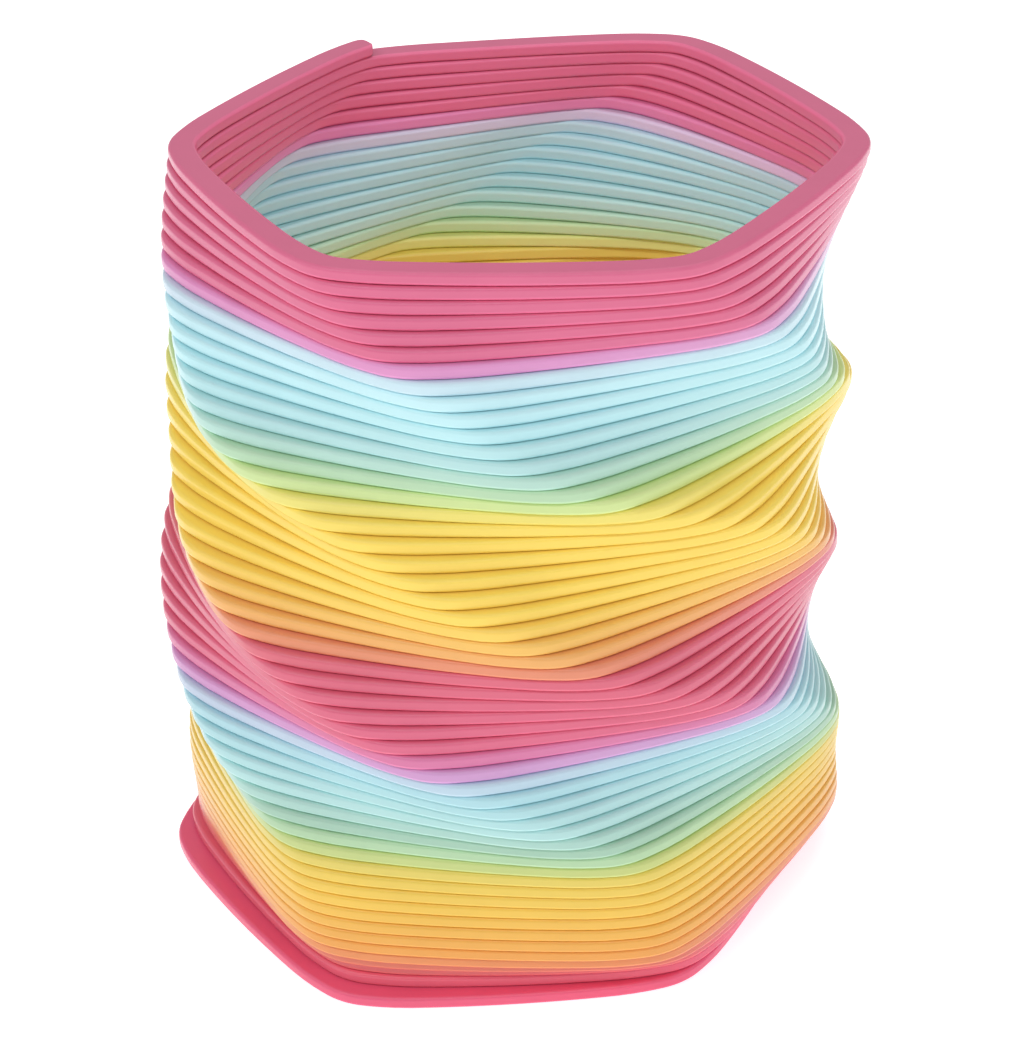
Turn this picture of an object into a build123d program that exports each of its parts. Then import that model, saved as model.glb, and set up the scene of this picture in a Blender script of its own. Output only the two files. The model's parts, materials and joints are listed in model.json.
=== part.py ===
from build123d import *

import math
import os

# A springy coil toy: one flat plastic strand wound round a rounded hexagon, standing upright with its
# turns closed up on each other. Seen from above, the strand runs anticlockwise and downwards from its
# tip at the back left. Every turn lies level for most of its way round and then steps down by one pitch,
# at the back, to become the next turn. From turn to turn the hexagon twists and the stack leans a little.
# Each turn is a piece of its own, cut from its neighbours at the azimuth of the tip.
# Millimetres, +Z up, the front towards -Y, and the origin under the middle of the whole stack.

turn_count = 57
pitch = 1.48  # from one turn down to the next in the closed stack
strand_width = 3.0  # across the strand, from the hexagon's outer face to its inner face
strand_height = 1.4  # leaves a slit of 0.08 between turns, which lets them part without rubbing

apothem = 34.5  # from a turn's middle to the middle of a side's outer face
corner_radius = 8.5  # of the outer face round the tip of a corner; 75 across the corners
tip_turn = 15.0  # degrees that this arc turns through, each side of the corner's bisector
shoulder_radius = 30.0  # of the arcs that ease a corner into its sides
side_radius = 173.0  # the sides bow outwards a little

tip_azimuth = 118.0  # where the strand starts and where each turn is cut, from +X
step_share = 0.2  # the last share of a turn, over which it steps down
cut_gap = 0.1  # between the end of a turn and the start of the next
shortest_arc = 0.3  # degrees; no arc of a turn's outline is shorter
step_sections = 11  # cross-sections that shape the step

# Twist of the hexagon in degrees, and place of its middle, at equal steps down the strand.
twist_keys = (-3, 7.5, 24, 41, 67.5, 91.5, 113.5, 134.5, 153, 168.5, 174, 175.5, 183)
lean_x_keys = (2.12, 1.18, 0.16, -0.66, 0.79, -0.81, -1.09, -0.97, -1.03, 0.03, -0.19, 0.23, 0.31)
lean_y_keys = (4.72, 4.58, 3.36, 0.98, -0.32, -2.53, -3.99, -3.47, -3.22, -2.87, -2.57, -1.68, 4.68)

# The lowest turns have slipped out to the front left, further and further down to the last one.
slip_turns = 3.2
slip_twist = 2.5
slip_x = -4.3
slip_y = -6.6


def along(keys, turns):
    """The keys' value this many turns down the strand, on a smooth curve through them all."""
    place = min(max(turns / turn_count, 0.0), 1.0) * (len(keys) - 1)
    first = min(int(place), len(keys) - 2)
    part = place - first
    before, start = keys[max(first - 1, 0)], keys[first]
    end, after = keys[first + 1], keys[min(first + 2, len(keys) - 1)]
    slope = (end - before) * part
    bend = (2 * before - 5 * start + 4 * end - after) * part**2
    turn_back = (3 * start - before - 3 * end + after) * part**3
    return start + (slope + bend + turn_back) / 2


# Half a side, from the tip of a corner to the middle of the side, is three arcs that meet smoothly:
# tip, shoulder and side. Each begins where the outline faces this far round from the corner's bisector.
side_centre = side_radius - apothem
tip_end = math.radians(tip_turn)
shoulder_rise = side_centre / 2 - (shoulder_radius - corner_radius) * math.sin(tip_end)
shoulder_end = math.asin(shoulder_rise / (side_radius - shoulder_radius))
facing_starts = (0, tip_end, shoulder_end)
radii = (corner_radius, shoulder_radius, side_radius)
arc_lengths = [
    radius * (end - start)
    for radius, start, end in zip(radii, facing_starts, (tip_end, shoulder_end, math.radians(30)))
]
half_side = sum(arc_lengths)
tip_share = arc_lengths[0] / half_side * 30  # where the arcs meet, in degrees from the corner
shoulder_share = (arc_lengths[0] + arc_lengths[1]) / half_side * 30

# The arcs' centres, along the corner's bisector and across it.
side_arc = Vector(-side_centre, 0).rotate(Axis.Z, 30)
shoulder_arc = side_arc + Vector(side_radius - shoulder_radius, 0).rotate(Axis.Z, math.degrees(shoulder_end))
tip_arc = shoulder_arc + Vector(shoulder_radius - corner_radius, 0).rotate(Axis.Z, tip_turn)
centres = (tip_arc, shoulder_arc, side_arc)


def drop(share):
    """How far a turn has stepped down, from 0 to 1 pitch, at this share of its way round."""
    part = min(max((share - 1 + step_share) / step_share, 0.0), 1.0)
    return part**2 * (3 - 2 * part)


def slip(turns):
    """How far the strand has slipped out this many turns down, from 0 to 1 at the very bottom."""
    return min(max((turns - turn_count + slip_turns) / slip_turns, 0.0), 1.0) ** 2


def from_corner(turns):
    """Degrees from a corner, this many turns down the strand, at 60 to a side measured along it."""
    return tip_azimuth + 360 * turns - along(twist_keys, turns) - slip_twist * slip(turns)


def outline_point(turns, inset):
    """The point of the strand's face this many turns down from the tip, in plan."""
    corner = math.floor(from_corner(turns) / 60 + 0.5)
    past = from_corner(turns) - 60 * corner
    length = abs(past) / 30 * half_side
    arc = 0
    while arc < 2 and length > arc_lengths[arc]:
        length -= arc_lengths[arc]
        arc += 1
    facing = math.degrees(facing_starts[arc] + length / radii[arc])
    point = centres[arc] + Vector(radii[arc] - inset, 0).rotate(Axis.Z, facing)
    point = Vector(point.X, math.copysign(point.Y, past))
    twist = along(twist_keys, turns) + slip_twist * slip(turns)
    lean_x = along(lean_x_keys, turns) + slip_x * slip(turns)
    lean_y = along(lean_y_keys, turns) + slip_y * slip(turns)
    return point.rotate(Axis.Z, 60 * corner + twist) + Vector(lean_x, lean_y)


def underside(number):
    """Height of a turn's level underside. Turns count from 1 at the top."""
    return (turn_count - number) * pitch


def arc_ends(start, end):
    """Where the arcs of the outline end between start and end, in turns, four at each corner."""
    ends = [start]
    for corner in range(math.floor(from_corner(start) / 60), math.ceil(from_corner(end) / 60) + 1):
        for share in (-shoulder_share, -tip_share, tip_share, shoulder_share):
            turns = start
            for _ in range(8):
                turns += (corner * 60 + share - from_corner(turns)) / 360
            if start + shortest_arc / 360 < turns < end - shortest_arc / 360:
                ends.append(turns)
    return [*ends, end]


def draw_strand(start, end):
    """The strand from start to end in plan: the arcs of its two faces, closed by a line at each end."""
    ends = arc_ends(start, end)
    for inset in (0, strand_width):
        for first, last in zip(ends, ends[1:]):
            ThreePointArc(*[outline_point(turns, inset) for turns in (first, (first + last) / 2, last)])
    for turns in (start, end):
        Line(outline_point(turns, 0), outline_point(turns, strand_width))


half_gap = cut_gap / 2 / (2 * math.pi * apothem)  # in turns

os.makedirs("parts", exist_ok=True)

for number in range(1, turn_count + 1):
    start = number - 1 + half_gap
    step_start = number - step_share
    end = number - half_gap
    with BuildPart() as turn:
        if number < turn_count:
            with BuildSketch(Plane.XY.offset(underside(number) - pitch)):
                with BuildLine():
                    draw_strand(step_start, end)
                make_face()
            extrude(amount=pitch + strand_height)
            # The step is what a smoothly falling slab, wider and longer than the strand, leaves of this.
            for section in range(step_sections + 1):
                turns = step_start + step_share * (section * 1.1 / step_sections - 0.05)
                radial = Vector(1, 0).rotate(Axis.Z, tip_azimuth + 360 * turns)
                height = underside(number) + strand_height / 2 - pitch * drop(turns - number + 1)
                middle = outline_point(turns, strand_width / 2) + Vector(0, 0, height)
                with BuildSketch(Plane(origin=middle, x_dir=radial, z_dir=radial.cross(Vector(0, 0, 1)))):
                    Rectangle(4 * strand_width, strand_height)
            loft(mode=Mode.INTERSECT)
        with BuildSketch(Plane.XY.offset(underside(number))):
            with BuildLine():
                draw_strand(start, step_start)
            make_face()
        extrude(amount=strand_height)
    turn.part.label = f"turn_{number:02d}"
    export_step(turn.part, f"parts/turn_{number:02d}.step")
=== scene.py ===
import json
import math

import bpy
import numpy as np
from mathutils import Matrix, Vector

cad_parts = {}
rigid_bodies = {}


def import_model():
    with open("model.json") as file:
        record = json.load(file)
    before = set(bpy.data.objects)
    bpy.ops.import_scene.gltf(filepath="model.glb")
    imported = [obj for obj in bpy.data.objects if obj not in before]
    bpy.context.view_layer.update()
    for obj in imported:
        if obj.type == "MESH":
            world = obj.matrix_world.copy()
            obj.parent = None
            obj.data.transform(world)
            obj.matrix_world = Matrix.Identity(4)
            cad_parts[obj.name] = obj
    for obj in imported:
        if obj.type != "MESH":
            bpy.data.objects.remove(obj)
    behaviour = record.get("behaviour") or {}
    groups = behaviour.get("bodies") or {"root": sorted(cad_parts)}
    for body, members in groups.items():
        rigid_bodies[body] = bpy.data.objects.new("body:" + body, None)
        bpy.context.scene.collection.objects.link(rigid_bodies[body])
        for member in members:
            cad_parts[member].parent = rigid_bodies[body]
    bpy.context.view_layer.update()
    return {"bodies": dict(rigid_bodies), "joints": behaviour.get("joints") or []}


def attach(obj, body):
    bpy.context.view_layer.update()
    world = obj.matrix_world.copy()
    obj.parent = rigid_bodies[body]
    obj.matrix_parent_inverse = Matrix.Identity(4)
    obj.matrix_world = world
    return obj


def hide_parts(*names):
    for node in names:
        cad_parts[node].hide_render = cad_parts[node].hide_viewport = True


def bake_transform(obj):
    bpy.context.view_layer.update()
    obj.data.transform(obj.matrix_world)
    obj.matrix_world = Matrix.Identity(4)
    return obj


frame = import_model()

# A springy coil toy: one flat, glossy plastic strand wound round a rounded hexagon, in soft bands of
# colour. The CAD model holds each turn as a solid of its own. Here the strand is built as one smooth
# helix with rounded edges and round ends, cut into short pieces; those at the tip and the foot move
# with the top and the bottom turn.
# Places along the strand are in turns, counted down from the tip at the top. Lengths are in millimetres
# until a mesh is made.

MM = 0.001
turn_count = len(frame["bodies"])
gap_joint = {joint["child"]: joint["type"] for joint in frame["joints"]}  # the gap under each turn

# The strand and the hexagon that it is wound round, as in the CAD model.
pitch = 1.48  # from one turn down to the next in the closed stack
strand_width = 3.0
strand_height = 1.4
apothem = 34.5  # from a turn's middle to the middle of a side's outer face
corner_radius = 8.5
tip_turn = 15.0  # degrees that the arc at a corner's tip turns through, each side of the bisector
shoulder_radius = 30.0
side_radius = 173.0
tip_azimuth = 118.0  # where the strand starts, in degrees from +X
step_share = 0.2  # the last share of a turn, over which it steps down
foot = turn_count - step_share  # where the strand ends, at the bottom

# Twist of the hexagon in degrees, and place of its middle, at equal steps down the strand. These are the
# rounded results of a program that fitted the strand to the grooves in the photo.
twist_keys = (-3, 7.5, 24, 41, 67.5, 91.5, 113.5, 134.5, 153, 168.5, 174, 175.5, 183)
lean_x_keys = (2.12, 1.18, 0.16, -0.66, 0.79, -0.81, -1.09, -0.97, -1.03, 0.03, -0.19, 0.23, 0.31)
lean_y_keys = (4.72, 4.58, 3.36, 0.98, -0.32, -2.53, -3.99, -3.47, -3.22, -2.87, -2.57, -1.68, 4.68)

# The lowest turns have slipped out to the front left.
slip_turns = 3.2
slip_twist = 2.5
slip_x = -4.3
slip_y = -6.6

# Half a side of the hexagon, from the tip of a corner, is three arcs: tip, shoulder and side.
side_centre = side_radius - apothem
tip_end = math.radians(tip_turn)
shoulder_rise = side_centre / 2 - (shoulder_radius - corner_radius) * math.sin(tip_end)
shoulder_end = math.asin(shoulder_rise / (side_radius - shoulder_radius))
facing_starts = np.array((0, tip_end, shoulder_end))
radii = np.array((corner_radius, shoulder_radius, side_radius))
arc_starts = np.concatenate(([0], np.cumsum(radii * np.diff([*facing_starts, math.radians(30)]))))
centre_steps = np.array((-side_centre, side_radius - shoulder_radius, shoulder_radius - corner_radius))
centre_turns = np.array((math.radians(30), shoulder_end, tip_end))
centres_along = np.cumsum(centre_steps * np.cos(centre_turns))[::-1]
centres_across = np.cumsum(centre_steps * np.sin(centre_turns))[::-1]


def along(keys, turns):
    """The keys' value at these places on the strand, on a smooth curve through them all."""
    keys = np.array(keys, float)
    place = np.clip(turns / turn_count, 0, 1) * (len(keys) - 1)
    first = np.minimum(place.astype(int), len(keys) - 2)
    part = place - first
    before, start = keys[np.maximum(first - 1, 0)], keys[first]
    end, after = keys[first + 1], keys[np.minimum(first + 2, len(keys) - 1)]
    slope = (end - before) * part
    bend = (2 * before - 5 * start + 4 * end - after) * part**2
    turn_back = (3 * start - before - 3 * end + after) * part**3
    return start + (slope + bend + turn_back) / 2


def slip(turns):
    """How far the strand has slipped out at these places, from 0 to 1 at the very bottom."""
    return np.clip((turns - turn_count + slip_turns) / slip_turns, 0, 1) ** 2


def from_corner(turns):
    """Degrees from a corner, at 60 to a side measured along it."""
    return tip_azimuth + 360 * turns - along(twist_keys, turns) - slip_twist * slip(turns)


def strand_point(turns, inset, height):
    """Points of the strand: inset from its outer face, and height above its underside."""
    corner = np.floor(from_corner(turns) / 60 + 0.5)
    past = from_corner(turns) - 60 * corner
    length = np.abs(past) / 30 * arc_starts[3]
    arc = (length > arc_starts[1]).astype(int) + (length > arc_starts[2])
    facing = facing_starts[arc] + (length - arc_starts[arc]) / radii[arc]
    forward = centres_along[arc] + (radii[arc] - inset) * np.cos(facing)
    sideways = (centres_across[arc] + (radii[arc] - inset) * np.sin(facing)) * np.sign(past)
    twist = np.radians(60 * corner + along(twist_keys, turns) + slip_twist * slip(turns))
    x = forward * np.cos(twist) - sideways * np.sin(twist) + along(lean_x_keys, turns) + slip_x * slip(turns)
    y = forward * np.sin(twist) + sideways * np.cos(twist) + along(lean_y_keys, turns) + slip_y * slip(turns)
    whole = np.floor(turns)
    part = np.clip((turns - whole - 1 + step_share) / step_share, 0, 1)
    z = (turn_count - 1 - whole - part**2 * (3 - 2 * part)) * pitch + height
    return np.stack(np.broadcast_arrays(x, y, z), axis=-1)


# --- The strand's section ---------------------------------------------------------------------------

outer_edge = 0.44  # radii of the section's edges, on the hexagon's outer and inner face
inner_edge = 0.4
slit_fill = 0.07  # how much taller than the CAD's strand, which closes most of the slit above each turn
edge_steps = 5  # faces round each edge


def section():
    """The section's points as inset and height, with their outward normals, once round."""
    corners = (
        (outer_edge, strand_height - outer_edge, outer_edge, 0),
        (strand_width - inner_edge, strand_height - inner_edge, inner_edge, 90),
        (strand_width - inner_edge, inner_edge, inner_edge, 180),
        (outer_edge, outer_edge, outer_edge, 270),
    )
    points = []
    for inset, height, radius, first_angle in corners:
        for step in range(edge_steps + 1):
            angle = math.radians(first_angle + 90 * step / edge_steps)
            outward, up = math.cos(angle), math.sin(angle)
            points.append((inset - radius * outward, height + radius * up, outward, up))
    return np.array(points)


section_points = section()
closest_station = 1.0  # degrees between the sections along the strand, at a corner
widest_station = 3.0  # and along a side
station_share = 3  # between those limits, a step is the way to the nearest corner over this
tangent_step = 0.1 / 360  # of a turn, over which the strand's direction is measured
arc_length = 2 * math.pi * apothem  # of a turn, near enough
end_round = strand_width / 2 / arc_length  # of a turn, over which an end of the strand is rounded
end_angles = (8, 20, 34, 50, 68, 90)  # degrees round the curve of an end, where its sections lie
end_clear = end_round * 1.2  # from an end to where the even sections begin
end_height = 0.25  # of the strand's height that is left at its very end


def end_shrink(turns):
    """How much of its width and height the section keeps, close to the strand's two ends."""
    from_end = np.minimum(turns, foot - turns) / end_round
    short = np.clip(1 - from_end, 0, 1)
    width = np.sqrt(np.clip(1 - short**2, 0, 1))
    height = np.sqrt(np.clip(1 - np.clip(1 - 2 * from_end, 0, 1) ** 2, 0, 1))
    return width, end_height + (1 - end_height) * height


def piece_stations(start, end):
    """Places of a piece's sections, closer together at corners and at the strand's own ends."""
    places = [start]
    while True:
        nearest_corner = abs((from_corner(places[-1]) + 30) % 60 - 30)
        step = np.clip(nearest_corner / station_share, closest_station, widest_station) / 360
        following = places[-1] + step
        if end < following + (following - places[-1]) / 2:
            break
        places.append(following)
    places.append(end)
    round_steps = [end_round * (1 - math.cos(math.radians(angle))) for angle in end_angles]
    if start == 0:
        places = [0.0] + round_steps + [place for place in places if place > end_clear]
    if end == foot:
        places = [place for place in places if place < foot - end_clear]
        places += [foot - step for step in reversed(round_steps)] + [foot]
    return np.array(places)


def strand_mesh(name, start, end):
    """A closed length of the strand, with normals that run on smoothly from one piece to the next."""
    turns = piece_stations(start, end)[:, None]
    width, height = end_shrink(turns)
    inset, level, outward, up = section_points.T
    inset = strand_width / 2 + (inset - strand_width / 2) * width
    full = 1 + slit_fill / strand_height * np.clip(turns - 1, 0, 1)
    level = (strand_height / 2 + (level - strand_height / 2) * height) * full
    points = strand_point(turns, inset, level) * MM
    before = strand_point(turns - tangent_step, inset, level)
    ahead = strand_point(turns + tangent_step, inset, level) - before
    run = ahead[..., :2] / np.linalg.norm(ahead[..., :2], axis=-1, keepdims=True)
    normals = np.stack(np.broadcast_arrays(run[..., 1] * outward, -run[..., 0] * outward, up), axis=-1)
    rows, ring = points.shape[:2]
    faces = []
    for row in range(rows - 1):
        for spot in range(ring):
            here, beside = row * ring + spot, row * ring + (spot + 1) % ring
            faces.append((here, here + ring, beside + ring, beside))
    faces.append(tuple(range(ring)))
    faces.append(tuple(range(rows * ring - 1, (rows - 1) * ring - 1, -1)))
    mesh = bpy.data.meshes.new(name)
    mesh.from_pydata(points.reshape(-1, 3).tolist(), [], faces)
    mesh.polygons.foreach_set("use_smooth", [True] * (len(faces) - 2) + [False, False])
    place = mesh.attributes.new("strand_place", "FLOAT", "POINT")
    place.data.foreach_set("value", np.repeat(turns[:, 0] / turn_count, ring).astype(np.float32))
    # Share of painted light, from 0 where the section faces up or outwards to 1 where it faces down or
    # inwards: these faces are painted lighter in place of light that passes through the thin plastic.
    painted_light_share = np.clip(np.maximum(-outward, -up), 0, 1)
    painted_light = mesh.attributes.new("strand_painted_light", "FLOAT", "POINT")
    painted_light.data.foreach_set("value", np.tile(painted_light_share, rows).astype(np.float32))
    corner_normals = []
    flat = normals.reshape(-1, 3)
    for face in faces[:-2]:
        corner_normals += [tuple(flat[vertex]) for vertex in face]
    first_run, last_run = run[0, 0], run[-1, 0]
    corner_normals += [(-first_run[0], -first_run[1], 0.0)] * ring
    corner_normals += [(last_run[0], last_run[1], 0.0)] * ring
    mesh.update()
    mesh.normals_split_custom_set(corner_normals)
    piece = bpy.data.objects.new(name, mesh)
    bpy.context.scene.collection.objects.link(piece)
    return piece


# --- Colours and plastic ----------------------------------------------------------------------------

# Colours down the strand, as the turn at whose front they are and red, green and blue of 255. They were
# picked from median colours that a program sampled from the photo, and some were then changed.
band_colours = (
    (1.0, (218, 108, 143)),
    (6.0, (218, 108, 143)),
    (7.0, (220, 146, 198)),
    (7.8, (200, 224, 236)),
    (9.0, (196, 236, 243)),
    (11.0, (188, 233, 239)),
    (13.0, (180, 221, 222)),
    (14.0, (181, 219, 206)),
    (15.0, (181, 215, 178)),
    (16.1, (206, 225, 150)),
    (17.1, (238, 220, 112)),
    (18.4, (249, 218, 101)),
    (23.4, (248, 214, 99)),
    (24.4, (243, 200, 98)),
    (26.0, (237, 175, 104)),
    (27.0, (227, 143, 111)),
    (28.0, (217, 104, 127)),
    (33.0, (218, 105, 135)),
    (34.0, (214, 122, 165)),
    (35.0, (204, 152, 203)),
    (36.0, (184, 210, 226)),
    (37.0, (170, 214, 223)),
    (40.0, (176, 218, 217)),
    (42.0, (161, 199, 178)),
    (43.2, (178, 211, 166)),
    (44.1, (194, 205, 124)),
    (45.2, (228, 201, 93)),
    (48.0, (236, 195, 86)),
    (52.0, (232, 163, 83)),
    (54.2, (216, 116, 106)),
    (56.6, (230, 97, 132)),
)
front_part = (270 - tip_azimuth) / 360  # how far round a turn the front is
cloud_scale = 160.0
cloud_brightness = (0.95, 1.05)
roughness_range = (0.17, 0.27)
painted_light_brightness = 1.5  # painted light: brightness of the underside and the inner face, against the outer face's colour
wave_scale = 420.0
wave_strength = 0.05
wave_depth = 0.0002  # metres


def linear(value):
    """A colour channel of 255 as linear light."""
    share = value / 255
    return share / 12.92 if share <= 0.04045 else ((share + 0.055) / 1.055) ** 2.4


def attribute(tree, name):
    """A value that the mesh holds at each of its points."""
    node = tree.nodes.new("ShaderNodeAttribute")
    node.attribute_name = name
    return node.outputs["Fac"]


def noise(tree, where, scale, detail):
    """A noise from 0 to 1 over the given coordinates."""
    node = tree.nodes.new("ShaderNodeTexNoise")
    node.inputs["Scale"].default_value = scale
    node.inputs["Detail"].default_value = detail
    tree.links.new(where, node.inputs["Vector"])
    return node.outputs["Fac"]


def spread(tree, value, low, high):
    """A value from 0 to 1, spread from low to high."""
    node = tree.nodes.new("ShaderNodeMapRange")
    node.inputs["To Min"].default_value = low
    node.inputs["To Max"].default_value = high
    tree.links.new(value, node.inputs["Value"])
    return node.outputs["Result"]


def band_colour(tree):
    """The bands' colour at each place along the strand."""
    node = tree.nodes.new("ShaderNodeValToRGB")
    ramp = node.color_ramp
    ramp.interpolation = "LINEAR"
    ramp.elements.remove(ramp.elements[1])
    for index, (turn, colour) in enumerate(band_colours):
        position = (turn - 1 + front_part) / turn_count
        stop = ramp.elements.new(position) if index else ramp.elements[0]
        stop.position = position
        stop.color = [linear(value) for value in colour] + [1.0]
    tree.links.new(attribute(tree, "strand_place"), node.inputs["Fac"])
    return node.outputs["Color"]


def painted_light_colour(tree, colour):
    """The colour with painted light: made brighter on the strand's underside and inner face, in place of
    light that passes through the thin plastic and bounces between the turns.
    """
    parts = tree.nodes.new("ShaderNodeSeparateColor")
    parts.mode = "HSV"
    tree.links.new(colour, parts.inputs["Color"])
    # In this mode the blue socket is the brightness. It stops at 1, so that the hue stays the same.
    brighter = tree.nodes.new("ShaderNodeMath")
    brighter.operation = "MULTIPLY"
    brighter.inputs[1].default_value = painted_light_brightness
    tree.links.new(parts.outputs["Blue"], brighter.inputs[0])
    limited = tree.nodes.new("ShaderNodeMath")
    limited.operation = "MINIMUM"
    limited.inputs[1].default_value = 1.0
    tree.links.new(brighter.outputs["Value"], limited.inputs[0])
    painted_light = tree.nodes.new("ShaderNodeCombineColor")
    painted_light.mode = "HSV"
    tree.links.new(parts.outputs["Red"], painted_light.inputs["Red"])
    tree.links.new(parts.outputs["Green"], painted_light.inputs["Green"])
    tree.links.new(limited.outputs["Value"], painted_light.inputs["Blue"])
    mix = tree.nodes.new("ShaderNodeMixRGB")
    mix.use_clamp = True
    tree.links.new(attribute(tree, "strand_painted_light"), mix.inputs["Fac"])
    tree.links.new(colour, mix.inputs["Color1"])
    tree.links.new(painted_light.outputs["Color"], mix.inputs["Color2"])
    return mix.outputs["Color"]


def coil_plastic():
    """Glossy moulded plastic whose colour runs through the bands along the strand."""
    material = bpy.data.materials.new("coil_plastic")
    material.use_nodes = True
    tree = material.node_tree
    shader = tree.nodes["Principled BSDF"]
    where = tree.nodes.new("ShaderNodeTexCoord").outputs["Object"]
    # A faint cloudiness, as pigment has in the plastic. The roughness wanders with it.
    cloud = noise(tree, where, cloud_scale, 3.0)
    tint = tree.nodes.new("ShaderNodeHueSaturation")
    tree.links.new(band_colour(tree), tint.inputs["Color"])
    tree.links.new(spread(tree, cloud, *cloud_brightness), tint.inputs["Value"])
    # Painted light: the underside and inner face get a lighter base colour, in place of light through the
    # plastic.
    tree.links.new(painted_light_colour(tree, tint.outputs["Color"]), shader.inputs["Base Color"])
    tree.links.new(spread(tree, cloud, *roughness_range), shader.inputs["Roughness"])
    # Fine waves, as a mould leaves.
    bump = tree.nodes.new("ShaderNodeBump")
    bump.inputs["Strength"].default_value = wave_strength
    bump.inputs["Distance"].default_value = wave_depth
    tree.links.new(noise(tree, where, wave_scale, 2.0), bump.inputs["Height"])
    tree.links.new(bump.outputs["Normal"], shader.inputs["Normal"])
    shader.inputs["IOR"].default_value = 1.5
    shader.inputs["Specular IOR Level"].default_value = 0.35
    return material


# --- Pieces of the strand and what they move with ----------------------------------------------------

hinge_reach = 30 / 360  # of a turn each side of a hinge, over which one piece of the strand runs
slide_letters = "abcdef"  # names of the pieces between two hinges, in order
slide_pieces = len(slide_letters)
foot_rest = 0.35  # of a turn at the strand's end that stays on the surface when the coil is drawn out
plastic = coil_plastic()
name_of = {number: f"turn_{number:02d}" for number in range(1, turn_count + 1)}


def middle_point(turns):
    """The middle of the strand's section at one place, in metres."""
    point = strand_point(np.array([turns]), np.array([strand_width / 2]), np.array([strand_height / 2]))
    return Vector(point[0]) * MM


def add_piece(name, start, end):
    """A piece of the strand with its plastic and the CAD turns that it stands for."""
    piece = strand_mesh(name, start, end)
    piece.data.materials.append(plastic)
    for number in range(1, turn_count + 1):
        if start <= number - 0.5 < end:
            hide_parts(name_of[number])
    return piece


def add_riding(name, start, end, number):
    """A piece that moves with one turn."""
    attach(add_piece(name, start, end), name_of[number])


def add_bending(name, start, end):
    """A piece between a turn and the next one down, at these shares of the way from one to the other."""
    piece = add_piece(name, start, end)
    first, last = middle_point(start), middle_point(end)
    first.z = last.z = (first.z + last.z) / 2
    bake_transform(piece)


add_riding("strand_tip", 0, 1 - hinge_reach, 1)
for upper in range(1, turn_count):
    if gap_joint[name_of[upper]] == "hinge":
        add_bending(f"strand_{upper:02d}_fold", upper - hinge_reach, upper + hinge_reach)
    else:
        start = upper - 1 + hinge_reach
        end = min(upper + 1 - hinge_reach, foot - foot_rest)
        for index, letter in enumerate(slide_letters):
            first, last = index / slide_pieces, (index + 1) / slide_pieces
            name = f"strand_{upper:02d}_{letter}"
            add_bending(name, start + (end - start) * first, start + (end - start) * last)
add_riding("strand_foot", foot - foot_rest, foot, turn_count)

# --- Floor, light and camera --------------------------------------------------------------------------

floor_size = 40  # metres, so that no horizon shows in low views
floor_glow = 0.55  # the floor's own light, which keeps it nearly white
light_aim = Vector((0, 0, 0.04))  # metres


def add_floor():
    """A pale, dull floor under the coil."""
    bpy.ops.mesh.primitive_plane_add(size=floor_size)
    floor = bpy.context.object
    floor.name = "floor"
    material = bpy.data.materials.new("pale_floor")
    material.use_nodes = True
    shader = material.node_tree.nodes["Principled BSDF"]
    shader.inputs["Base Color"].default_value = (0.97, 0.97, 0.97, 1)
    shader.inputs["Roughness"].default_value = 0.9
    shader.inputs["Specular IOR Level"].default_value = 0.1
    shader.inputs["Emission Color"].default_value = (1, 1, 1, 1)
    shader.inputs["Emission Strength"].default_value = floor_glow
    floor.data.materials.append(material)


def add_light(name, place, width, height, power):
    """A soft box at a place in metres, aimed at the middle of the coil."""
    lamp = bpy.data.lights.new(name, "AREA")
    lamp.shape = "RECTANGLE"
    lamp.size, lamp.size_y = width, height
    lamp.energy = power
    box = bpy.data.objects.new(name, lamp)
    box.location = place
    box.rotation_euler = (light_aim - box.location).to_track_quat("-Z", "Y").to_euler()
    bpy.context.scene.collection.objects.link(box)


def add_world(strength):
    """Even white light from all round."""
    world = bpy.data.worlds.new("studio")
    world.use_nodes = True
    background = world.node_tree.nodes["Background"]
    background.inputs["Color"].default_value = (1, 1, 1, 1)
    background.inputs["Strength"].default_value = strength
    bpy.context.scene.world = world


def add_camera():
    """Above the front, looking down at the coil's middle, and turned a little about its own line of sight."""
    elevation = math.radians(28.92)
    roll = -0.0211
    distance = 0.3317
    aim = Vector((1.13, -2.2, turn_count * pitch / 2)) * MM
    back = Vector((0, -math.cos(elevation), math.sin(elevation)))
    camera = bpy.data.objects.new("camera", bpy.data.cameras.new("camera"))
    camera.data.sensor_width = 36
    camera.data.lens = 103.79
    camera.data.clip_start = 0.01
    turned = (-back).to_track_quat("-Z", "Y").to_matrix() @ Matrix.Rotation(roll, 3, "Z")
    camera.matrix_world = Matrix.Translation(aim + back * distance) @ turned.to_4x4()
    bpy.context.scene.collection.objects.link(camera)
    bpy.context.scene.camera = camera


add_floor()
add_world(0.4)
add_light("key", (-0.2, -0.75, 1.0), 1.7, 0.2, 5.0)
add_light("fill", (0.9, -0.3, 0.65), 0.8, 0.8, 1.5)
add_light("side", (-0.9, -0.2, 0.65), 0.8, 0.8, 1.6)
add_light("top", (0.1, 0.4, 1.1), 0.8, 0.8, 2.6)
add_camera()
bpy.context.scene.view_settings.view_transform = "Standard"
